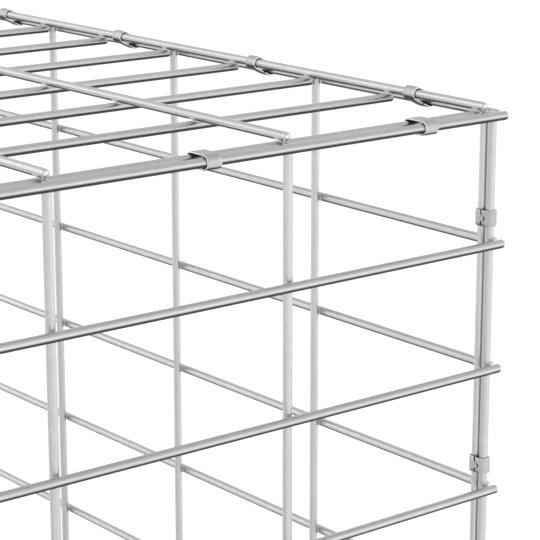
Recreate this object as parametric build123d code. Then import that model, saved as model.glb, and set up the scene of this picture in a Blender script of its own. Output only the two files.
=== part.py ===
from build123d import *
import os

# A gabion wall: an empty basket of welded wire panels, in whole bays, ready for its fill of stone.
# Sizes are in millimetres. X runs along the wall, Y from front to back and Z up.
# The origin is on the ground, below the middle of the basket.

# The wall and its bays
bay_count = 2
bay_length = 500.0
depth = 400.0
height = 400.0

# The welded mesh of every panel
mesh_width = 100.0
mesh_height = 50.0
wire_dia = 3.5
wire_sides = 8
wire_end = 4.1

# Gaps between wires that lie side by side, and between a wire's end and the wire it stops at
lap_gap = 0.5
seat_gap = 0.25

# The strip clips that hold the edge wires together
strip_width = 6.3
strip_thick = 0.85
clip_gap = 0.15
edge_place_share = 0.365
corner_place_share = 0.4
partition_clip_cells = 2

# Decimal places to which an outline's corners are matched
digits = 6

# Whole cells of the mesh along each side
long_cells = bay_count * round(bay_length / mesh_width)
deep_cells = round(depth / mesh_width)
high_cells = round(height / mesh_height)
rows_in_cell = round(mesh_width / mesh_height)

# Places of the wires that the panels share
wire_r = wire_dia / 2
flush_end = wire_r - seat_gap
clip_in = wire_r + clip_gap
clip_out = clip_in + strip_thick
side_x = bay_count * bay_length / 2
lid_y = depth / 2
face_y = lid_y + wire_dia + lap_gap
foot_z = clip_out + wire_dia
head_z = foot_z + height
cross_x = side_x - wire_dia - seat_gap


def spaced(low, high, cells):
    return [low + (high - low) * i / cells for i in range(cells + 1)]


def kept_within(places, low, high):
    # The outermost wires move in where a neighbour is in their way, and the others stay
    return [min(max(place, low), high) for place in places]


def round_wire(at, radius):
    # A wire's section, with a flat towards each of the four sides that another wire can meet
    return Pos(*at) * RegularPolygon(radius, wire_sides, major_radius=False, rotation=180 / wire_sides)


def panel(face, uprights, rails, rail_end):
    # One flat panel, seen from outside: rails across the outer side of the uprights,
    # welded flat to flat wherever they cross
    upright_low = rails[0] - flush_end
    rail_low = uprights[0] - rail_end
    upright_plane = Plane((0, upright_low, 0), x_dir=(1, 0, 0), z_dir=(0, 1, 0))
    rail_plane = Plane((rail_low, 0, 0), x_dir=(0, 1, 0), z_dir=(1, 0, 0))
    upright_length = rails[-1] + flush_end - upright_low
    rail_length = uprights[-1] + rail_end - rail_low
    wires = [extrude(upright_plane * round_wire((u, 0), wire_r), upright_length) for u in uprights]
    wires += [extrude(rail_plane * round_wire((v, wire_dia), wire_r), rail_length) for v in rails]
    return face * wires[0].fuse(*wires[1:])


def drawn_round(pair, radius):
    # The tightest outline round both wires, walked from left to right and back again
    corners = [tuple(vertex)[:2] for at in pair for vertex in round_wire(at, radius).vertices()]
    corners = sorted((round(x, digits), round(y, digits)) for x, y in corners)
    outline = []
    for walk in (corners, corners[::-1]):
        side = []
        for x, y in walk:
            while len(side) > 1 and not turns_left(side[-2], side[-1], (x, y)):
                side.pop()
            side.append((x, y))
        outline += side[:-1]
    return Polygon(*outline, align=None)


def turns_left(start, middle, end):
    ahead = (middle[0] - start[0]) * (end[1] - start[1])
    aside = (middle[1] - start[1]) * (end[0] - start[0])
    return ahead > aside


def clips(section, pair, places):
    # Strips bent round a pair of wires until their ends meet, one at each place along the edge
    strip = drawn_round(pair, clip_out) - drawn_round(pair, clip_in)
    one = extrude(section * strip, strip_width / 2, both=True)
    return [Pos(*place) * one for place in places]


def save(name, shapes):
    solids = [solid for shape in shapes for solid in shape.solids()]
    export_step(solids[0] if len(solids) == 1 else Compound(solids), f"parts/{name}.step")


def wall_panels():
    # The front and back run through all bays, and the end panels close the row
    columns = spaced(-side_x, side_x, long_cells)
    end_columns = spaced(-lid_y, lid_y, deep_cells)
    rows = spaced(foot_z, head_z, high_cells)
    front = Plane((0, -face_y, 0), x_dir=(1, 0, 0), z_dir=(0, -1, 0))
    back = Plane((0, face_y, 0), x_dir=(-1, 0, 0), z_dir=(0, 1, 0))
    right = Plane((side_x, 0, 0), x_dir=(0, 1, 0), z_dir=(1, 0, 0))
    left = Plane((-side_x, 0, 0), x_dir=(0, -1, 0), z_dir=(-1, 0, 0))
    save("front_panel", [panel(front, columns, rows, wire_end)])
    save("back_panel", [panel(back, columns, rows, wire_end)])
    save("right_end_panel", [panel(right, end_columns, rows, wire_end)])
    save("left_end_panel", [panel(left, end_columns, rows, wire_end)])


def lid_and_base():
    # The long wires lie inside, level with the walls' outer rails, and the cross wires outside.
    # The outermost cross wires stand in from the end panels' uprights.
    long_wires = spaced(-lid_y, lid_y, deep_cells * rows_in_cell)
    cross_wires = kept_within(spaced(-side_x, side_x, long_cells), -cross_x, cross_x)
    above = Plane((0, 0, head_z), x_dir=(0, 1, 0), z_dir=(0, 0, 1))
    below = Plane((0, 0, foot_z), x_dir=(0, 1, 0), z_dir=(0, 0, -1))
    save("lid_panel", [panel(above, long_wires, cross_wires, wire_end)])
    save("base_panel", [panel(below, long_wires, cross_wires, wire_end)])


def partitions():
    # Between two bays, an upright panel that fits under the lid's long wires and over the base's
    columns = spaced(-lid_y, lid_y, deep_cells)
    rail_gap = wire_dia + seat_gap
    low_rail = foot_z + rail_gap
    top_rail = head_z - rail_gap
    rows = kept_within(spaced(foot_z, head_z, high_cells), low_rail, top_rail)
    for bay in range(1, bay_count):
        at_x = bay * bay_length - side_x
        upright = Plane((at_x, 0, 0), x_dir=(0, 1, 0), z_dir=(1, 0, 0))
        save(f"partition_{bay}_panel", [panel(upright, columns, rows, wire_end)])
        for name, y in (("front", -1), ("back", 1)):
            pair = [(at_x, y * face_y), (at_x, y * lid_y)]
            save(f"partition_{bay}_{name}_clips", upright_clips(pair, partition_clip_cells))
        for name, rail_z, cross_z in (
            ("top", top_rail, head_z + wire_dia),
            ("bottom", low_rail, foot_z - wire_dia),
        ):
            pair = [(at_x, cross_z), (at_x + wire_dia, rail_z)]
            save(f"partition_{bay}_{name}_clips", crossways_clips(pair, partition_clip_cells))


def upright_clips(pair, step=1):
    # Down a corner, counted from the top
    row = height / high_cells
    count = high_cells // rows_in_cell
    places = [head_z - (i + corner_place_share) * rows_in_cell * row for i in range(0, count, step)]
    return clips(Plane.XY, pair, [(0, 0, z) for z in places])


def crossways_clips(pair, step=1):
    # Along an edge from front to back, counted from the front
    cell = depth / deep_cells
    places = [(i + edge_place_share) * cell - lid_y for i in range(0, deep_cells, step)]
    return clips(Plane.XZ, pair, [(0, y, 0) for y in places])


def lengthways_clips(pair):
    # Along a long edge, counted from the right
    cell = bay_count * bay_length / long_cells
    places = [side_x - (i + edge_place_share) * cell for i in range(long_cells)]
    return clips(Plane.YZ, pair, [(x, 0, 0) for x in places])


def edge_clips():
    # Round the outer rail of a wall and the edge wire of the lid or the base
    levels = (("top", head_z, head_z + wire_dia), ("bottom", foot_z, foot_z - wire_dia))
    for level, rail_z, cross_z in levels:
        for face, y in (("front", -1), ("back", 1)):
            pair = [(y * (face_y + wire_dia), rail_z), (y * lid_y, rail_z)]
            save(f"{face}_{level}_clips", lengthways_clips(pair))
        for end, x in (("left", -1), ("right", 1)):
            pair = [(x * cross_x, cross_z), (x * (side_x + wire_dia), rail_z)]
            save(f"{end}_{level}_clips", crossways_clips(pair))
    # Round the edge uprights of two walls that meet at a corner
    for face, y in (("front", -1), ("back", 1)):
        for end, x in (("left", -1), ("right", 1)):
            pair = [(x * side_x, y * face_y), (x * side_x, y * lid_y)]
            save(f"{face}_{end}_corner_clips", upright_clips(pair))


os.makedirs("parts", exist_ok=True)
wall_panels()
lid_and_base()
partitions()
edge_clips()
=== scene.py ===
import math
import random

import bmesh
import bpy
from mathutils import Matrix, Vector


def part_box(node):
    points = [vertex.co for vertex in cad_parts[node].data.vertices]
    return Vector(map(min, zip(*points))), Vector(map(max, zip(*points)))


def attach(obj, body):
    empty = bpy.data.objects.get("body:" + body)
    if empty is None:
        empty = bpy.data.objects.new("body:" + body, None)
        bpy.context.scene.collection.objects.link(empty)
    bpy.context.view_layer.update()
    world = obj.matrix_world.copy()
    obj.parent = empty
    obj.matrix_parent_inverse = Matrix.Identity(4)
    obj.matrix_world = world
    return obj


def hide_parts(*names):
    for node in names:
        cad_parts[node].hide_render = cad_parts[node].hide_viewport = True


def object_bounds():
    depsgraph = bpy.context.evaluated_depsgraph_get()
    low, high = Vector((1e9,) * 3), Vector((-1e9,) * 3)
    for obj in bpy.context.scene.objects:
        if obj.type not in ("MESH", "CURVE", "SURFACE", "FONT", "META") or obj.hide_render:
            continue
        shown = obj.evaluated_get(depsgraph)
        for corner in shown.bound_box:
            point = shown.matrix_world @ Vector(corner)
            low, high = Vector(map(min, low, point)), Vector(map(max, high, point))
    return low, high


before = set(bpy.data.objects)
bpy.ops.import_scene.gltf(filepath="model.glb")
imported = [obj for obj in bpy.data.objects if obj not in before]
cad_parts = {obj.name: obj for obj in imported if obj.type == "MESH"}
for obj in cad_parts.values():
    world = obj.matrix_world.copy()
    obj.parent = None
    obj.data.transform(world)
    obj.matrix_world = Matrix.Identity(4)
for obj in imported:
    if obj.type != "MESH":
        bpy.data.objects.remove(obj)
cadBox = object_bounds()
scene = bpy.context.scene
mm = 0.001
alongX, alongY, alongZ = 0, 1, 2
variety = {
    "seed": 41,
    "streakRoom": 5.0,                # streaks shift within this, so that no two pieces have the same
}
chance = random.Random(variety["seed"])
print("basket loaded,", len(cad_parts), "nodes to dress")


# shared mesh helpers

def startPiece():
    bm = bmesh.new()
    bm.loops.layers.uv.new("run")
    bm.faces.layers.float.new("tone")
    bm.verts.layers.float.new("shade")
    return bm


# shade is how far the painted shade of the underside may go at this point
def addPoint(bm, place, shade):
    point = bm.verts.new(place)
    point[bm.verts.layers.float["shade"]] = shade
    return point


def addFace(bm, corners, runSpots, tone):
    face = bm.faces.new(corners)
    face.smooth = True
    face[bm.faces.layers.float["tone"]] = tone
    for loop, runSpot in zip(face.loops, runSpots):
        loop[bm.loops.layers.uv["run"]].uv = runSpot


# faces between closed rings of points, with a spot along the run for each ring
def addTube(bm, rings, alongs, arounds, tones):
    count = len(rings[0])
    for ringA, ringB, alongA, alongB in zip(rings, rings[1:], alongs, alongs[1:]):
        for i in range(count):
            j = (i + 1) % count
            aroundA, aroundB = arounds[i], arounds[i + 1]
            corners = (ringA[i], ringA[j], ringB[j], ringB[i])
            runSpots = ((alongA, aroundA), (alongA, aroundB), (alongB, aroundB), (alongB, aroundA))
            addFace(bm, corners, runSpots, tones[i])


def keepPiece(bm, name, finish, node, sharpAngle):
    bmesh.ops.recalc_face_normals(bm, faces=bm.faces[:])
    mesh = bpy.data.meshes.new(name)
    bm.to_mesh(mesh)
    bm.free()
    mesh.set_sharp_from_angle(angle=math.radians(sharpAngle))
    mesh.materials.append(finish)
    piece = bpy.data.objects.new(name, mesh)
    scene.collection.objects.link(piece)
    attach(piece, "root")
    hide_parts(node)
    return piece


# shared node helpers

mixShare, mixFirst, mixSecond, mixResult = 0, 6, 7, 2     # a Mix node's sockets for colours


def link(tree, fromSocket, toSocket):
    tree.links.new(fromSocket, toSocket)


def attributeValue(tree, name):
    node = tree.nodes.new("ShaderNodeAttribute")
    node.attribute_name = name
    return node.outputs["Fac"]


def noiseNode(tree, place, scale, detail):
    node = tree.nodes.new("ShaderNodeTexNoise")
    node.inputs["Scale"].default_value = scale
    node.inputs["Detail"].default_value = detail
    link(tree, place, node.inputs["Vector"])
    return node.outputs["Fac"]


def mathNode(tree, operation, first, second):
    node = tree.nodes.new("ShaderNodeMath")
    node.operation = operation
    for socket, value in zip(node.inputs, (first, second)):
        if isinstance(value, (int, float)):
            socket.default_value = value
        else:
            link(tree, value, socket)
    return node.outputs[0]


def rangeNode(tree, value, low, high, toLow, toHigh):
    node = tree.nodes.new("ShaderNodeMapRange")
    node.interpolation_type = "SMOOTHSTEP"
    for name, number in (("From Min", low), ("From Max", high), ("To Min", toLow), ("To Max", toHigh)):
        node.inputs[name].default_value = number
    link(tree, value, node.inputs["Value"])
    return node.outputs["Result"]


def mixColour(tree, share, first, second):
    node = tree.nodes.new("ShaderNodeMix")
    node.data_type = "RGBA"
    link(tree, share, node.inputs[mixShare])
    link(tree, first, node.inputs[mixFirst])
    node.inputs[mixSecond].default_value = (*second, 1.0)
    return node.outputs[mixResult]


# zinc finishes

wireLook = {
    "bright": (0.62, 0.624, 0.628),   # lighter zinc, where the painted underside shade does not fall
    "dull": (0.50, 0.504, 0.508),
    "cut": (0.10, 0.10, 0.10),        # bare steel
    "wearAndHighlight": (0.80, 0.805, 0.81),      # rubbed bright at the cut ends, partly a painted highlight
    "under": (0.063, 0.064, 0.066),   # painted shade on the faces that look down
    "underFrom": 0.0,
    "underTo": -0.40,
    "lift": (0.19, 0.0),              # puts off the painted shade on faces that look along X, and along Y
    "rough": (0.24, 0.38),
    "streakLength": 3.0,              # noise per metre along the wire
    "streakFine": 7.0,                # noise round the wire
    "spangle": 420.0,                 # zinc grains per metre
    "bumpDepth": 0.04 * mm,
}
stripLook = {
    "bright": (0.56, 0.577, 0.572),
    "dull": (0.45, 0.465, 0.461),
    # bare steel at the cut ends, and the painted shade of the face against the wires
    "cut": (0.03, 0.03, 0.03),
    "wearAndHighlight": (0.76, 0.77, 0.77),       # rubbed bright along the edges, partly a painted highlight
    # painted shade on the faces that look down, as on the wire
    "under": (0.060, 0.064, 0.064),
    "underFrom": 0.03,
    "underTo": -0.30,
    "lift": (0.0, 0.45),
    "rough": (0.40, 0.54),
    "streakLength": 60.0,
    "streakFine": 900.0,
    "spangle": 650.0,
    "bumpDepth": 0.03 * mm,
}
zincMix = {                           # the same for wire and strip
    "grainShare": 0.12,               # what the mottle is made of, beside a face's own tone
    "cloudShare": 0.25,
    "streakShare": 0.75,
    "cloudSize": 9.0,                 # broad patches, in zinc grains
    "cloudDetail": 3.0,
    "streakDetail": 4.0,
    "cutAt": 0.05,                    # the mottle at which each colour is pure
    "dullAt": 0.25,
    "brightAt": 0.9,
    "roughTones": (0.3, 1.1),         # the mottle, from roughest to smoothest
    "wearAndHighlightTones": (0.2, 1.0),          # a face's own tone, from no wear or painted highlight to all of it
    "specular": 0.05,
    "bump": 0.5,
}


# zinc grains, broad patches, lines drawn along the metal and the tone of each face
def zincMottle(tree, look, ownTone):
    run = tree.nodes.new("ShaderNodeUVMap")
    run.uv_map = "run"
    stretch = tree.nodes.new("ShaderNodeMapping")
    stretch.inputs["Scale"].default_value = (look["streakLength"], look["streakFine"], 1.0)
    link(tree, run.outputs["UV"], stretch.inputs["Vector"])
    streak = noiseNode(tree, stretch.outputs["Vector"], 1.0, zincMix["streakDetail"])
    place = tree.nodes.new("ShaderNodeTexCoord").outputs["Object"]
    cloud = noiseNode(tree, place, look["spangle"] / zincMix["cloudSize"], zincMix["cloudDetail"])
    grain = tree.nodes.new("ShaderNodeTexVoronoi")
    grain.inputs["Scale"].default_value = look["spangle"]
    link(tree, place, grain.inputs["Vector"])
    grainTone = tree.nodes.new("ShaderNodeSeparateColor")
    link(tree, grain.outputs["Color"], grainTone.inputs["Color"])
    mottle = mathNode(tree, "MULTIPLY", grainTone.outputs["Red"], zincMix["grainShare"])
    for layer in (
        mathNode(tree, "MULTIPLY", cloud, zincMix["cloudShare"]),
        mathNode(tree, "MULTIPLY", streak, zincMix["streakShare"]),
        ownTone,
    ):
        mottle = mathNode(tree, "ADD", mottle, layer)
    return mottle


def zincColour(tree, look, mottle, ownTone):
    zinc = tree.nodes.new("ShaderNodeValToRGB")
    zinc.color_ramp.elements[0].position = zincMix["cutAt"]
    zinc.color_ramp.elements[0].color = (*look["cut"], 1.0)
    zinc.color_ramp.elements[1].position = zincMix["brightAt"]
    zinc.color_ramp.elements[1].color = (*look["bright"], 1.0)
    zinc.color_ramp.elements.new(zincMix["dullAt"]).color = (*look["dull"], 1.0)
    link(tree, mottle, zinc.inputs["Fac"])
    # wear, partly a painted highlight, set by a face's own tone
    wearAndHighlight = rangeNode(tree, ownTone, *zincMix["wearAndHighlightTones"], 0.0, 1.0)
    return mixColour(tree, wearAndHighlight, zinc.outputs["Color"], look["wearAndHighlight"])


# painted shade: one on faces that look down, less over the welds
def paintedUndersideShade(tree, look):
    facing = tree.nodes.new("ShaderNodeNewGeometry")
    split = tree.nodes.new("ShaderNodeSeparateXYZ")
    link(tree, facing.outputs["Normal"], split.inputs["Vector"])
    height = split.outputs["Z"]
    for axis, share in zip("XY", look["lift"]):
        aside = mathNode(tree, "ABSOLUTE", split.outputs[axis], 0.0)
        height = mathNode(tree, "ADD", height, mathNode(tree, "MULTIPLY", aside, share))
    paintedShade = rangeNode(tree, height, look["underTo"], look["underFrom"], 1.0, 0.0)
    return mathNode(tree, "MULTIPLY", paintedShade, attributeValue(tree, "shade"))


def zincFinish(name, look):
    finish = bpy.data.materials.new(name)
    finish.use_nodes = True
    tree = finish.node_tree
    shader = tree.nodes["Principled BSDF"]
    shader.inputs["Specular IOR Level"].default_value = zincMix["specular"]
    ownTone = attributeValue(tree, "tone")
    mottle = zincMottle(tree, look, ownTone)
    metal = zincColour(tree, look, mottle, ownTone)
    # painted shade on the undersides: a darker colour and less metal
    paintedShade = paintedUndersideShade(tree, look)
    link(tree, mixColour(tree, paintedShade, metal, look["under"]), shader.inputs["Base Color"])
    link(tree, mathNode(tree, "SUBTRACT", 1.0, paintedShade), shader.inputs["Metallic"])
    smoothest, roughest = look["rough"]
    rough = rangeNode(tree, mottle, *zincMix["roughTones"], roughest, smoothest)
    link(tree, rough, shader.inputs["Roughness"])
    bump = tree.nodes.new("ShaderNodeBump")
    bump.inputs["Strength"].default_value = zincMix["bump"]
    bump.inputs["Distance"].default_value = look["bumpDepth"]
    link(tree, mottle, bump.inputs["Height"])
    link(tree, bump.outputs["Normal"], shader.inputs["Normal"])
    return finish


wireZinc = zincFinish("galvanised_wire", wireLook)
stripZinc = zincFinish("galvanised_strip", stripLook)
print("zinc finishes ready")


# welded mesh panels

wire = {
    "radius": 1.75 * mm,
    "past": 4.1 * mm,        # outer wires run on past the last wire that they cross
    "flush": 1.5 * mm,       # inner wires stop just past the middle of the last one
    "sides": 24,
    "ease": 1.15 * mm,       # rounding of the cut ends
    "easeSteps": 6,
    "toneSpread": 0.10,
    # the cut ends take part of the wear colour, partly a painted highlight
    "endTone": 0.40,
    "sharpAngle": 40,
}
weld = {
    "reach": 1.52 * mm,      # from the middle of the weld to its rim
    "waist": 0.12,           # how far the rim draws in half way up
    "sink": 0.12 * mm,       # depth of the rim inside both wires
    "spread": 0.08,
    "sides": 20,
    "steps": 4,
    "tone": 0.06,
    "clear": 1.3 * mm,       # over a weld, the wire's underside is kept free of the painted shade out to here
    "fade": 2.7 * mm,
    "turned": 0.4,           # how squarely it has to face the weld to be all free of the painted shade
}
wallCells = (100 * mm, 50 * mm)      # from one inner wire to the next, and from one outer wire to the next
flatCells = (50 * mm, 100 * mm)
# the way each panel faces, and the axes that its inner and outer wires run along
panels = {
    "front_panel": {"out": alongY, "sign": -1, "inner": alongZ, "outer": alongX, "cells": wallCells},
    "back_panel": {"out": alongY, "sign": 1, "inner": alongZ, "outer": alongX, "cells": wallCells},
    "left_end_panel": {"out": alongX, "sign": -1, "inner": alongZ, "outer": alongY, "cells": wallCells},
    "right_end_panel": {"out": alongX, "sign": 1, "inner": alongZ, "outer": alongY, "cells": wallCells},
    "partition_1_panel": {"out": alongX, "sign": 1, "inner": alongZ, "outer": alongY, "cells": wallCells},
    "lid_panel": {"out": alongZ, "sign": 1, "inner": alongX, "outer": alongY, "cells": flatCells},
    "base_panel": {"out": alongZ, "sign": -1, "inner": alongX, "outer": alongY, "cells": flatCells},
}

# the lines of the mesh run between these places, the same for all panels
frontBox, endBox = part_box("front_panel"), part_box("right_end_panel")
meshEdges = (
    (frontBox[0].x + wire["past"], frontBox[1].x - wire["past"]),
    (endBox[0].y + wire["past"], endBox[1].y - wire["past"]),
    (frontBox[0].z + wire["radius"], frontBox[1].z - wire["radius"]),
)


# outermost lines that the panel's own box can't hold move in
def meshLines(axis, cell, box):
    low, high = meshEdges[axis]
    cells = round((high - low) / cell)
    lines = (low + (high - low) * i / cells for i in range(cells + 1))
    return [min(max(x, box[0][axis] + wire["radius"]), box[1][axis] - wire["radius"]) for x in lines]


def spot(places):
    return Vector([places[axis] for axis in (alongX, alongY, alongZ)])


def unit(axis, sign=1):
    return spot({axis: sign, (axis + 1) % 3: 0, (axis + 2) % 3: 0})


# places along a wire, each with the radius and the share of painted shade allowed there
def wireStations(length, crossings):
    ease, radius = wire["ease"], wire["radius"]
    turns = [math.pi / 2 * step / wire["easeSteps"] for step in range(wire["easeSteps"] + 1)]
    rounded = [(ease * (1 - math.cos(turn)), radius - ease + ease * math.sin(turn), 0) for turn in turns]
    fades = ((-weld["fade"], 1), (-weld["clear"], 0), (weld["clear"], 0), (weld["fade"], 1))
    stations = list(rounded)
    for crossing in crossings:
        for away, shade in fades:
            if ease < crossing + away < length - ease:
                stations.append((crossing + away, radius, shade))
    return stations + [(length - back, wide, shade) for back, wide, shade in reversed(rounded)]


# crossings are the distances from start at which other wires cross, on the side that toWeld points to
def addWire(bm, start, end, crossings, toWeld):
    along = (end - start).normalized()
    sideA = along.orthogonal().normalized()
    sideB = along.cross(sideA)
    sides, steps, endTone = wire["sides"], wire["easeSteps"], wire["endTone"]
    turns = [2 * math.pi * i / sides for i in range(sides)]
    spokes = [sideA * math.cos(turn) + sideB * math.sin(turn) for turn in turns]
    overWeld = [min(max(spoke.z * toWeld.z / weld["turned"], 0), 1) for spoke in spokes]
    stations = wireStations((end - start).length, crossings)
    rings = []
    for reach, wide, shade in stations:
        middle = start + along * reach
        rings.append([
            addPoint(bm, middle + spoke * wide, 1 - over * (1 - shade))
            for spoke, over in zip(spokes, overWeld)
        ])
    tone = chance.uniform(-wire["toneSpread"], wire["toneSpread"])
    shift = chance.uniform(0, variety["streakRoom"])
    alongs = [shift + reach for reach, wide, shade in stations]
    arounds = [shift + i / sides for i in range(sides + 1)]
    for part, partTone in (
        (slice(steps + 1), endTone),
        (slice(steps, -steps), tone),
        (slice(-steps - 1, None), endTone),
    ):
        addTube(bm, rings[part], alongs[part], arounds, [partTone] * sides)
    for ring in (rings[0], rings[-1]):
        addFace(bm, ring, [(shift, around) for around in arounds[:-1]], endTone)


# the small saddle of metal between two wires that cross; inner and outer run along the wires
def addWeld(bm, middle, inner, outer, out):
    radius, steps, sides = wire["radius"], weld["steps"], weld["sides"]
    reach = weld["reach"] * (1 + chance.uniform(-weld["spread"], weld["spread"]))
    rings = []
    for step in range(steps + 1):
        rise = step / steps
        draw = 1 - weld["waist"] * math.sin(math.pi * rise)
        ring = []
        for i in range(sides):
            turn = 2 * math.pi * i / sides
            p, q = reach * math.cos(turn), reach * math.sin(turn)
            low = math.sqrt(radius ** 2 - q ** 2) - radius - weld["sink"]
            high = radius - math.sqrt(radius ** 2 - p ** 2) + weld["sink"]
            aside = (inner * p + outer * q) * draw
            ring.append(addPoint(bm, middle + aside + out * (low + (high - low) * rise), 0))
        rings.append(ring)
    shift = chance.uniform(0, variety["streakRoom"])
    alongs = [shift + weld["reach"] * i for i in range(steps + 1)]
    arounds = [shift + i / sides for i in range(sides + 1)]
    addTube(bm, rings, alongs, arounds, [weld["tone"]] * sides)
    for ring in (rings[0], rings[-1]):
        addFace(bm, ring, [(shift, shift)] * sides, weld["tone"])


def makePanel(node, plan):
    bm = startPiece()
    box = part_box(node)
    out, inner, outer = plan["out"], plan["inner"], plan["outer"]
    outwards = unit(out, plan["sign"])
    levels = (box[0][out] + wire["radius"], box[1][out] - wire["radius"])
    innerLevel, outerLevel = levels if plan["sign"] > 0 else levels[::-1]
    innerLines = meshLines(outer, plan["cells"][0], box)
    outerLines = meshLines(inner, plan["cells"][1], box)
    innerEnds = (outerLines[0] - wire["flush"], outerLines[-1] + wire["flush"])
    innerCrossings = [line - innerEnds[0] for line in outerLines]
    outerCrossings = [line - box[0][outer] for line in innerLines]
    for line in innerLines:
        ends = (spot({out: innerLevel, outer: line, inner: end}) for end in innerEnds)
        addWire(bm, *ends, innerCrossings, outwards)
    for line in outerLines:
        ends = (spot({out: outerLevel, inner: line, outer: corner[outer]}) for corner in box)
        addWire(bm, *ends, outerCrossings, -outwards)
    for lineA in innerLines:
        for lineB in outerLines:
            middle = spot({out: (innerLevel + outerLevel) / 2, outer: lineA, inner: lineB})
            addWeld(bm, middle, unit(inner), unit(outer), outwards)
    name = node.replace("_panel", "_mesh")
    return keepPiece(bm, name, wireZinc, node, wire["sharpAngle"])


for node, plan in panels.items():
    piece = makePanel(node, plan)
    print("panel", piece.name, "with", len(piece.data.polygons), "faces")


# strip clips

strip = {
    "outside": 2.75 * mm,     # radius round a wire
    "thick": 0.6 * mm,
    "hug": 0.35 * mm,         # how far the middle of a bend is pressed in towards the wire
    "hugPower": 4,            # a higher one keeps the pressing nearer the middle
    "width": 6.3 * mm,
    "edge": 0.16 * mm,        # rounding of the long edges
    "edgeSteps": 2,
    "bendSteps": 12,
    "flatSteps": 4,
    "pitch": 100 * mm,
    "partitionPitch": 200 * mm,
    "toneSpread": 0.08,
    # the long edges take all of the wear colour, partly a painted highlight
    "edgeTone": 1.0,
    "runStep": 1.0 * mm,      # along the run of the streaks, for each ring of points
    "aroundStep": 0.4 * mm,   # and round it, for each point of the section
    "sharpAngle": 35,
}
seam = {
    "share": 0.60,            # place along the inside face, from the first wire to the second
    "gap": 0.65 * mm,
    "tongueDeep": 1.8 * mm,
    "tongueWide": 2.5 * mm,
    "tongueSteps": 12,
    "cutTone": -0.8,
    "innerPaintedShade": -0.5,        # painted shade on the face against the wires, which lies in the gap
}


# each row's axis, the side of its box where the first wire lies, the side of the seam, and the pitch
def clipRows():
    pitch, partitionPitch = strip["pitch"], strip["partitionPitch"]
    rows = {}
    for side, y in (("front", -1), ("back", 1)):
        for level, z in (("top", 1), ("bottom", -1)):
            rows[f"{side}_{level}"] = (alongX, (0, y, 0), (0, 0, -z), pitch)
        for end, x in (("left", -1), ("right", 1)):
            rows[f"{side}_{end}_corner"] = (alongZ, (0, y, 0), (-x, 0, 0), pitch)
        rows[f"partition_1_{side}"] = (alongZ, (0, y, 0), (-1, 0, 0), partitionPitch)
    for level, z in (("top", 1), ("bottom", -1)):
        for end, x in (("left", -1), ("right", 1)):
            rows[f"{end}_{level}"] = (alongY, (-x, 0, z), (-x, 0, -z), pitch)
        rows[f"partition_1_{level}"] = (alongY, (-1, 0, z), (-1, 0, -z), partitionPitch)
    return rows


# the strip's section, as places across its width and distances from the wire's middle
def stripSection():
    outside, inside, edge = strip["outside"], strip["outside"] - strip["thick"], strip["edge"]
    half = strip["width"] / 2 - edge
    tongueTurns = [math.pi * (i / seam["tongueSteps"] - 0.5) for i in range(seam["tongueSteps"] + 1)]
    tongue = [seam["tongueWide"] / 2 * math.sin(turn) for turn in tongueTurns]
    face = [-half, *tongue, half]
    turns = [math.pi / 2 * i / strip["edgeSteps"] for i in range(1, strip["edgeSteps"] + 1)]
    corner = [(half + edge * math.sin(turn), outside - edge * (1 - math.cos(turn))) for turn in turns]
    side = corner + [(w, outside + inside - radius) for w, radius in reversed(corner)]
    section = [(w, outside) for w in face] + side
    section += [(w, inside) for w in reversed(face)] + [(-w, radius) for w, radius in reversed(side)]
    return section, len(face), len(side)


def tongueAt(w):
    share = min(abs(w) / (seam["tongueWide"] / 2), 1.0)
    return seam["tongueDeep"] * math.sqrt(1 - share ** 2)


# the section as pressed in at a turn of the bend, most at its middle
def bendAt(turn, section):
    pressed = strip["hug"] * math.sin(turn) ** strip["hugPower"]
    return [(w, radius - pressed) for w, radius in section]


# rings of one clip, as (place from first wire to second, outwards, across)
def clipRings(span, section):
    seamAt = seam["share"] * span
    flats = [i / strip["flatSteps"] for i in range(strip["flatSteps"] + 1)]
    bends = [math.pi * i / strip["bendSteps"] for i in range(1, strip["bendSteps"])]
    rings = []
    for t in flats:
        rings.append([
            (seamAt + (span - seamAt) * t - tongueAt(w) * (1 - t), -radius, w)
            for w, radius in section
        ])
    for turn in bends:
        bend = bendAt(turn, section)
        rings.append([(span + radius * math.sin(turn), -radius * math.cos(turn), w) for w, radius in bend])
    for t in flats:
        rings.append([(span * (1 - t), radius, w) for w, radius in section])
    for turn in bends:
        bend = bendAt(turn, section)
        rings.append([(-radius * math.sin(turn), radius * math.cos(turn), w) for w, radius in bend])
    for t in flats:
        rings.append([(t * (seamAt - seam["gap"] - tongueAt(w)), -radius, w) for w, radius in section])
    return rings


# the cut at one end of the strip, in quads from outer to inner face, with one more face at each edge
def addCutEnd(bm, ring, faceCount, sideCount, shift):
    cutTone = seam["cutTone"]
    runSpots = [(shift, shift)] * (sideCount + 2)
    innerEnd = 2 * faceCount + sideCount - 1      # the inner face's point under the outer face's first
    for i in range(faceCount - 1):
        corners = (ring[i], ring[i + 1], ring[innerEnd - i - 1], ring[innerEnd - i])
        addFace(bm, corners, runSpots[:4], cutTone)
    addFace(bm, ring[faceCount - 1:faceCount + sideCount + 1], runSpots, cutTone)
    addFace(bm, ring[innerEnd:] + ring[:1], runSpots, cutTone)


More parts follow.
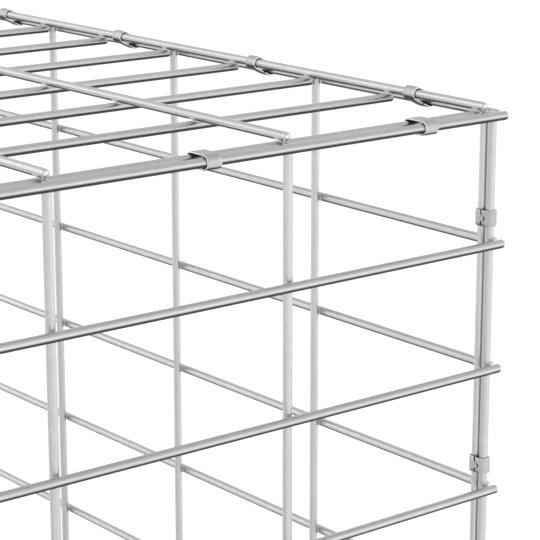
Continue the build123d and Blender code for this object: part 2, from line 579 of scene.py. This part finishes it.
def addClip(bm, rings, faceCount, sideCount, place, axes):
    tone = chance.uniform(-strip["toneSpread"], strip["toneSpread"])
    shift = chance.uniform(0, variety["streakRoom"])
    loops = [
        [addPoint(bm, place + sum((a * x for a, x in zip(axes, point)), Vector()), 1) for point in ring]
        for ring in rings
    ]
    alongs = [shift + strip["runStep"] * i for i in range(len(loops))]
    arounds = [shift + strip["aroundStep"] * i for i in range(len(loops[0]) + 1)]
    outerTones = [tone] * (faceCount - 1)
    # painted shade on the face against the wires
    innerShadedTones = [seam["innerPaintedShade"]] * (faceCount - 1)
    edgeTones = [strip["edgeTone"]] * (sideCount + 1)
    addTube(bm, loops, alongs, arounds, outerTones + edgeTones + innerShadedTones + edgeTones)
    for ring in (loops[0], loops[-1]):
        addCutEnd(bm, ring, faceCount, sideCount, shift)


def makeClips(row, plan):
    bm = startPiece()
    run, first, seamSide, pitch = plan
    node = f"{row}_clips"
    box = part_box(node)
    middle, half = (box[0] + box[1]) / 2, (box[1] - box[0]) / 2
    toWire = Vector([sign * (half[axis] - strip["outside"]) for axis, sign in enumerate(first)])
    across = unit(run)
    ahead = -toWire.normalized()
    outwards = ahead.cross(across)
    if outwards.dot(Vector(seamSide)) > 0:
        outwards = -outwards
    section, faceCount, sideCount = stripSection()
    rings = clipRings(2 * toWire.length, section)
    reach = half[run] - strip["width"] / 2
    count = round(2 * reach / pitch) + 1
    for i in range(count):
        place = middle + toWire + across * (2 * reach * i / (count - 1) - reach)
        addClip(bm, rings, faceCount, sideCount, place, (ahead, outwards, across))
    return keepPiece(bm, f"{row}_strip_clips", stripZinc, node, strip["sharpAngle"])


for row, plan in clipRows().items():
    piece = makeClips(row, plan)
    print("clips", piece.name, "with", len(piece.data.polygons), "faces")


# pale floor

floor = {
    "half": 30.0,
    "colour": (0.82, 0.82, 0.82),
    "lift": 0.33,                  # brings the lit floor up to white where it is seen
    "cardLift": 0.26,              # more of it to the right, as from a white card laid there
    "cardToward": (0.78, -0.63, 0.0),
    "cardFrom": 0.6,
    "cardTo": 1.6,
}


def floorFinish():
    finish = bpy.data.materials.new("pale_floor")
    finish.use_nodes = True
    tree = finish.node_tree
    tree.nodes.clear()
    paint = tree.nodes.new("ShaderNodeBsdfDiffuse")
    paint.inputs["Color"].default_value = (*floor["colour"], 1.0)
    rays = tree.nodes.new("ShaderNodeLightPath")
    seen = mathNode(tree, "MAXIMUM", rays.outputs["Is Camera Ray"], rays.outputs["Is Glossy Ray"])
    seen = mathNode(tree, "MAXIMUM", seen, rays.outputs["Is Transmission Ray"])
    place = tree.nodes.new("ShaderNodeNewGeometry")
    toCard = tree.nodes.new("ShaderNodeVectorMath")
    toCard.operation = "DOT_PRODUCT"
    toCard.inputs[1].default_value = floor["cardToward"]
    link(tree, place.outputs["Position"], toCard.inputs[0])
    low, high = floor["lift"], floor["lift"] + floor["cardLift"]
    level = rangeNode(tree, toCard.outputs["Value"], floor["cardFrom"], floor["cardTo"], low, high)
    lift = tree.nodes.new("ShaderNodeEmission")
    link(tree, mathNode(tree, "MULTIPLY", seen, level), lift.inputs["Strength"])
    both = tree.nodes.new("ShaderNodeAddShader")
    result = tree.nodes.new("ShaderNodeOutputMaterial")
    link(tree, paint.outputs["BSDF"], both.inputs[0])
    link(tree, lift.outputs["Emission"], both.inputs[1])
    link(tree, both.outputs["Shader"], result.inputs["Surface"])
    return finish


def makeFloor():
    half = floor["half"]
    corners = [(-half, -half, 0), (half, -half, 0), (half, half, 0), (-half, half, 0)]
    mesh = bpy.data.meshes.new("floor")
    mesh.from_pydata(corners, [], [(0, 1, 2, 3)])
    mesh.materials.append(floorFinish())
    ground = bpy.data.objects.new("floor", mesh)
    scene.collection.objects.link(ground)


# light of the room, from the horizon up

roomLight = {
    "horizon": (1.0, 1.0, 1.0),
    "zenith": (0.72, 0.72, 0.725),
    "strength": 1.0,
}


def makeRoom():
    room = bpy.data.worlds.new("room")
    scene.world = room
    room.use_nodes = True
    tree = room.node_tree
    shade = tree.nodes["Background"]
    shade.inputs["Strength"].default_value = roomLight["strength"]
    place = tree.nodes.new("ShaderNodeTexCoord")
    split = tree.nodes.new("ShaderNodeSeparateXYZ")
    link(tree, place.outputs["Generated"], split.inputs["Vector"])
    sky = tree.nodes.new("ShaderNodeValToRGB")
    sky.color_ramp.elements[0].color = (*roomLight["horizon"], 1.0)
    sky.color_ramp.elements[1].color = (*roomLight["zenith"], 1.0)
    link(tree, split.outputs["Z"], sky.inputs["Fac"])
    link(tree, sky.outputs["Color"], shade.inputs["Color"])


# lamps, all turned to the middle of the basket

lamps = {
    "key": {"place": (-2.8, 0.4, 2.4), "size": (2.4, 2.4), "watts": 24},
    "side": {"place": (1.9, -2.6, 0.72), "size": (3.0, 1.2), "watts": 5.5},
    "back": {"place": (-1.6, 2.9, 1.50), "size": (3.4, 2.8), "watts": 19},
}


def makeLamps():
    aim = (Vector(cadBox[0]) + Vector(cadBox[1])) / 2
    for name, plan in lamps.items():
        light = bpy.data.lights.new(name, "AREA")
        light.shape = "RECTANGLE"
        light.size, light.size_y = plan["size"]
        light.energy = plan["watts"]
        lamp = bpy.data.objects.new(name, light)
        lamp.location = plan["place"]
        lamp.rotation_euler = (aim - lamp.location).to_track_quat("-Z", "Y").to_euler()
        scene.collection.objects.link(lamp)


# camera

view = {
    "place": (-0.0551, -0.7602, 0.5477),
    "pitchDown": 14.5,
    "heading": 38.79,              # from straight ahead towards the right
    "lens": 139.42,
    "sensor": 36.0,
}


def makeCamera():
    lens = bpy.data.cameras.new("viewpoint")
    lens.lens = view["lens"]
    lens.sensor_width = view["sensor"]
    camera = bpy.data.objects.new("viewpoint", lens)
    camera.location = view["place"]
    camera.rotation_euler = (math.radians(90 - view["pitchDown"]), 0, math.radians(-view["heading"]))
    scene.collection.objects.link(camera)
    scene.camera = camera


makeFloor()
makeRoom()
makeLamps()
makeCamera()
scene.view_settings.view_transform = "Standard"
print("floor, light and camera set")
